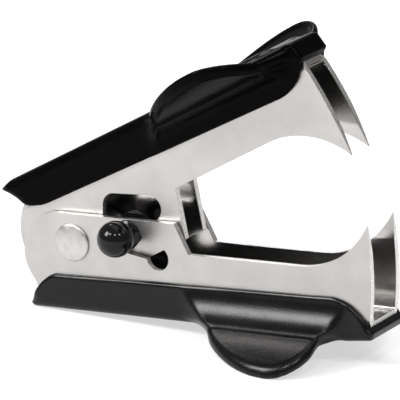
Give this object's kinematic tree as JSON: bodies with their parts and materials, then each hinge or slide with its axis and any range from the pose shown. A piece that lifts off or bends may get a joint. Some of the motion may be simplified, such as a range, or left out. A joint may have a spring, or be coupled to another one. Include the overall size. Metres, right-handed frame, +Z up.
{
  "type": "staple remover",
  "caption": "Claw staple remover: sprung folded steel jaws on a rivet, moulded finger grips with wings, and a ball knob that slides in a slot to lock the jaws closed.",
  "frame": {"origin": "centre of the footprint of the whole open tool, on the table it stands on", "axes": "+X from the heel to the claws, +Y away from the lock knob's side, +Z up"},
  "size_m": [0.0668, 0.0318, 0.0481],
  "materials": {
    "jaw_steel": "satin nickel plate",
    "grip_plastic": "satin to semi-gloss",
    "rivet_steel": "tumbled nickel plate",
    "spring_wire": "drawn wire",
    "knob_plastic": "gloss"
  },
  "bodies": {
    "lower_jaw": {"outer_jaw": "jaw_steel", "lower_grip": "grip_plastic", "pivot_rivet": "rivet_steel", "pivot_sleeve": "rivet_steel", "torsion_spring": "spring_wire"},
    "upper_jaw": {"inner_jaw": "jaw_steel", "upper_grip": "grip_plastic"},
    "lock": {"lock_knob": "knob_plastic", "lock_pin": "rivet_steel", "lock_washer": "knob_plastic"}
  },
  "joints": [
    {"name": "jaw_hinge", "type": "hinge", "parent": "lower_jaw", "child": "upper_jaw", "pos_m": [-0.01935, 0, 0.01136], "axis": [0, 1, 0], "range_deg": [0, 26.5], "stiffness_Nm_per_rad": 0.28, "springref_deg": -24.64, "deforming": ["torsion_spring"]},
    {"name": "lock_slide", "type": "slide", "parent": "lower_jaw", "child": "lock", "axis": [0.858, 0, -0.5137], "range_m": [0, 0.00589]}
  ],
  "couplings": [
    {"joint": "lock_slide", "follows": "jaw_hinge", "m_per_rad": 0.012718}
  ]
}
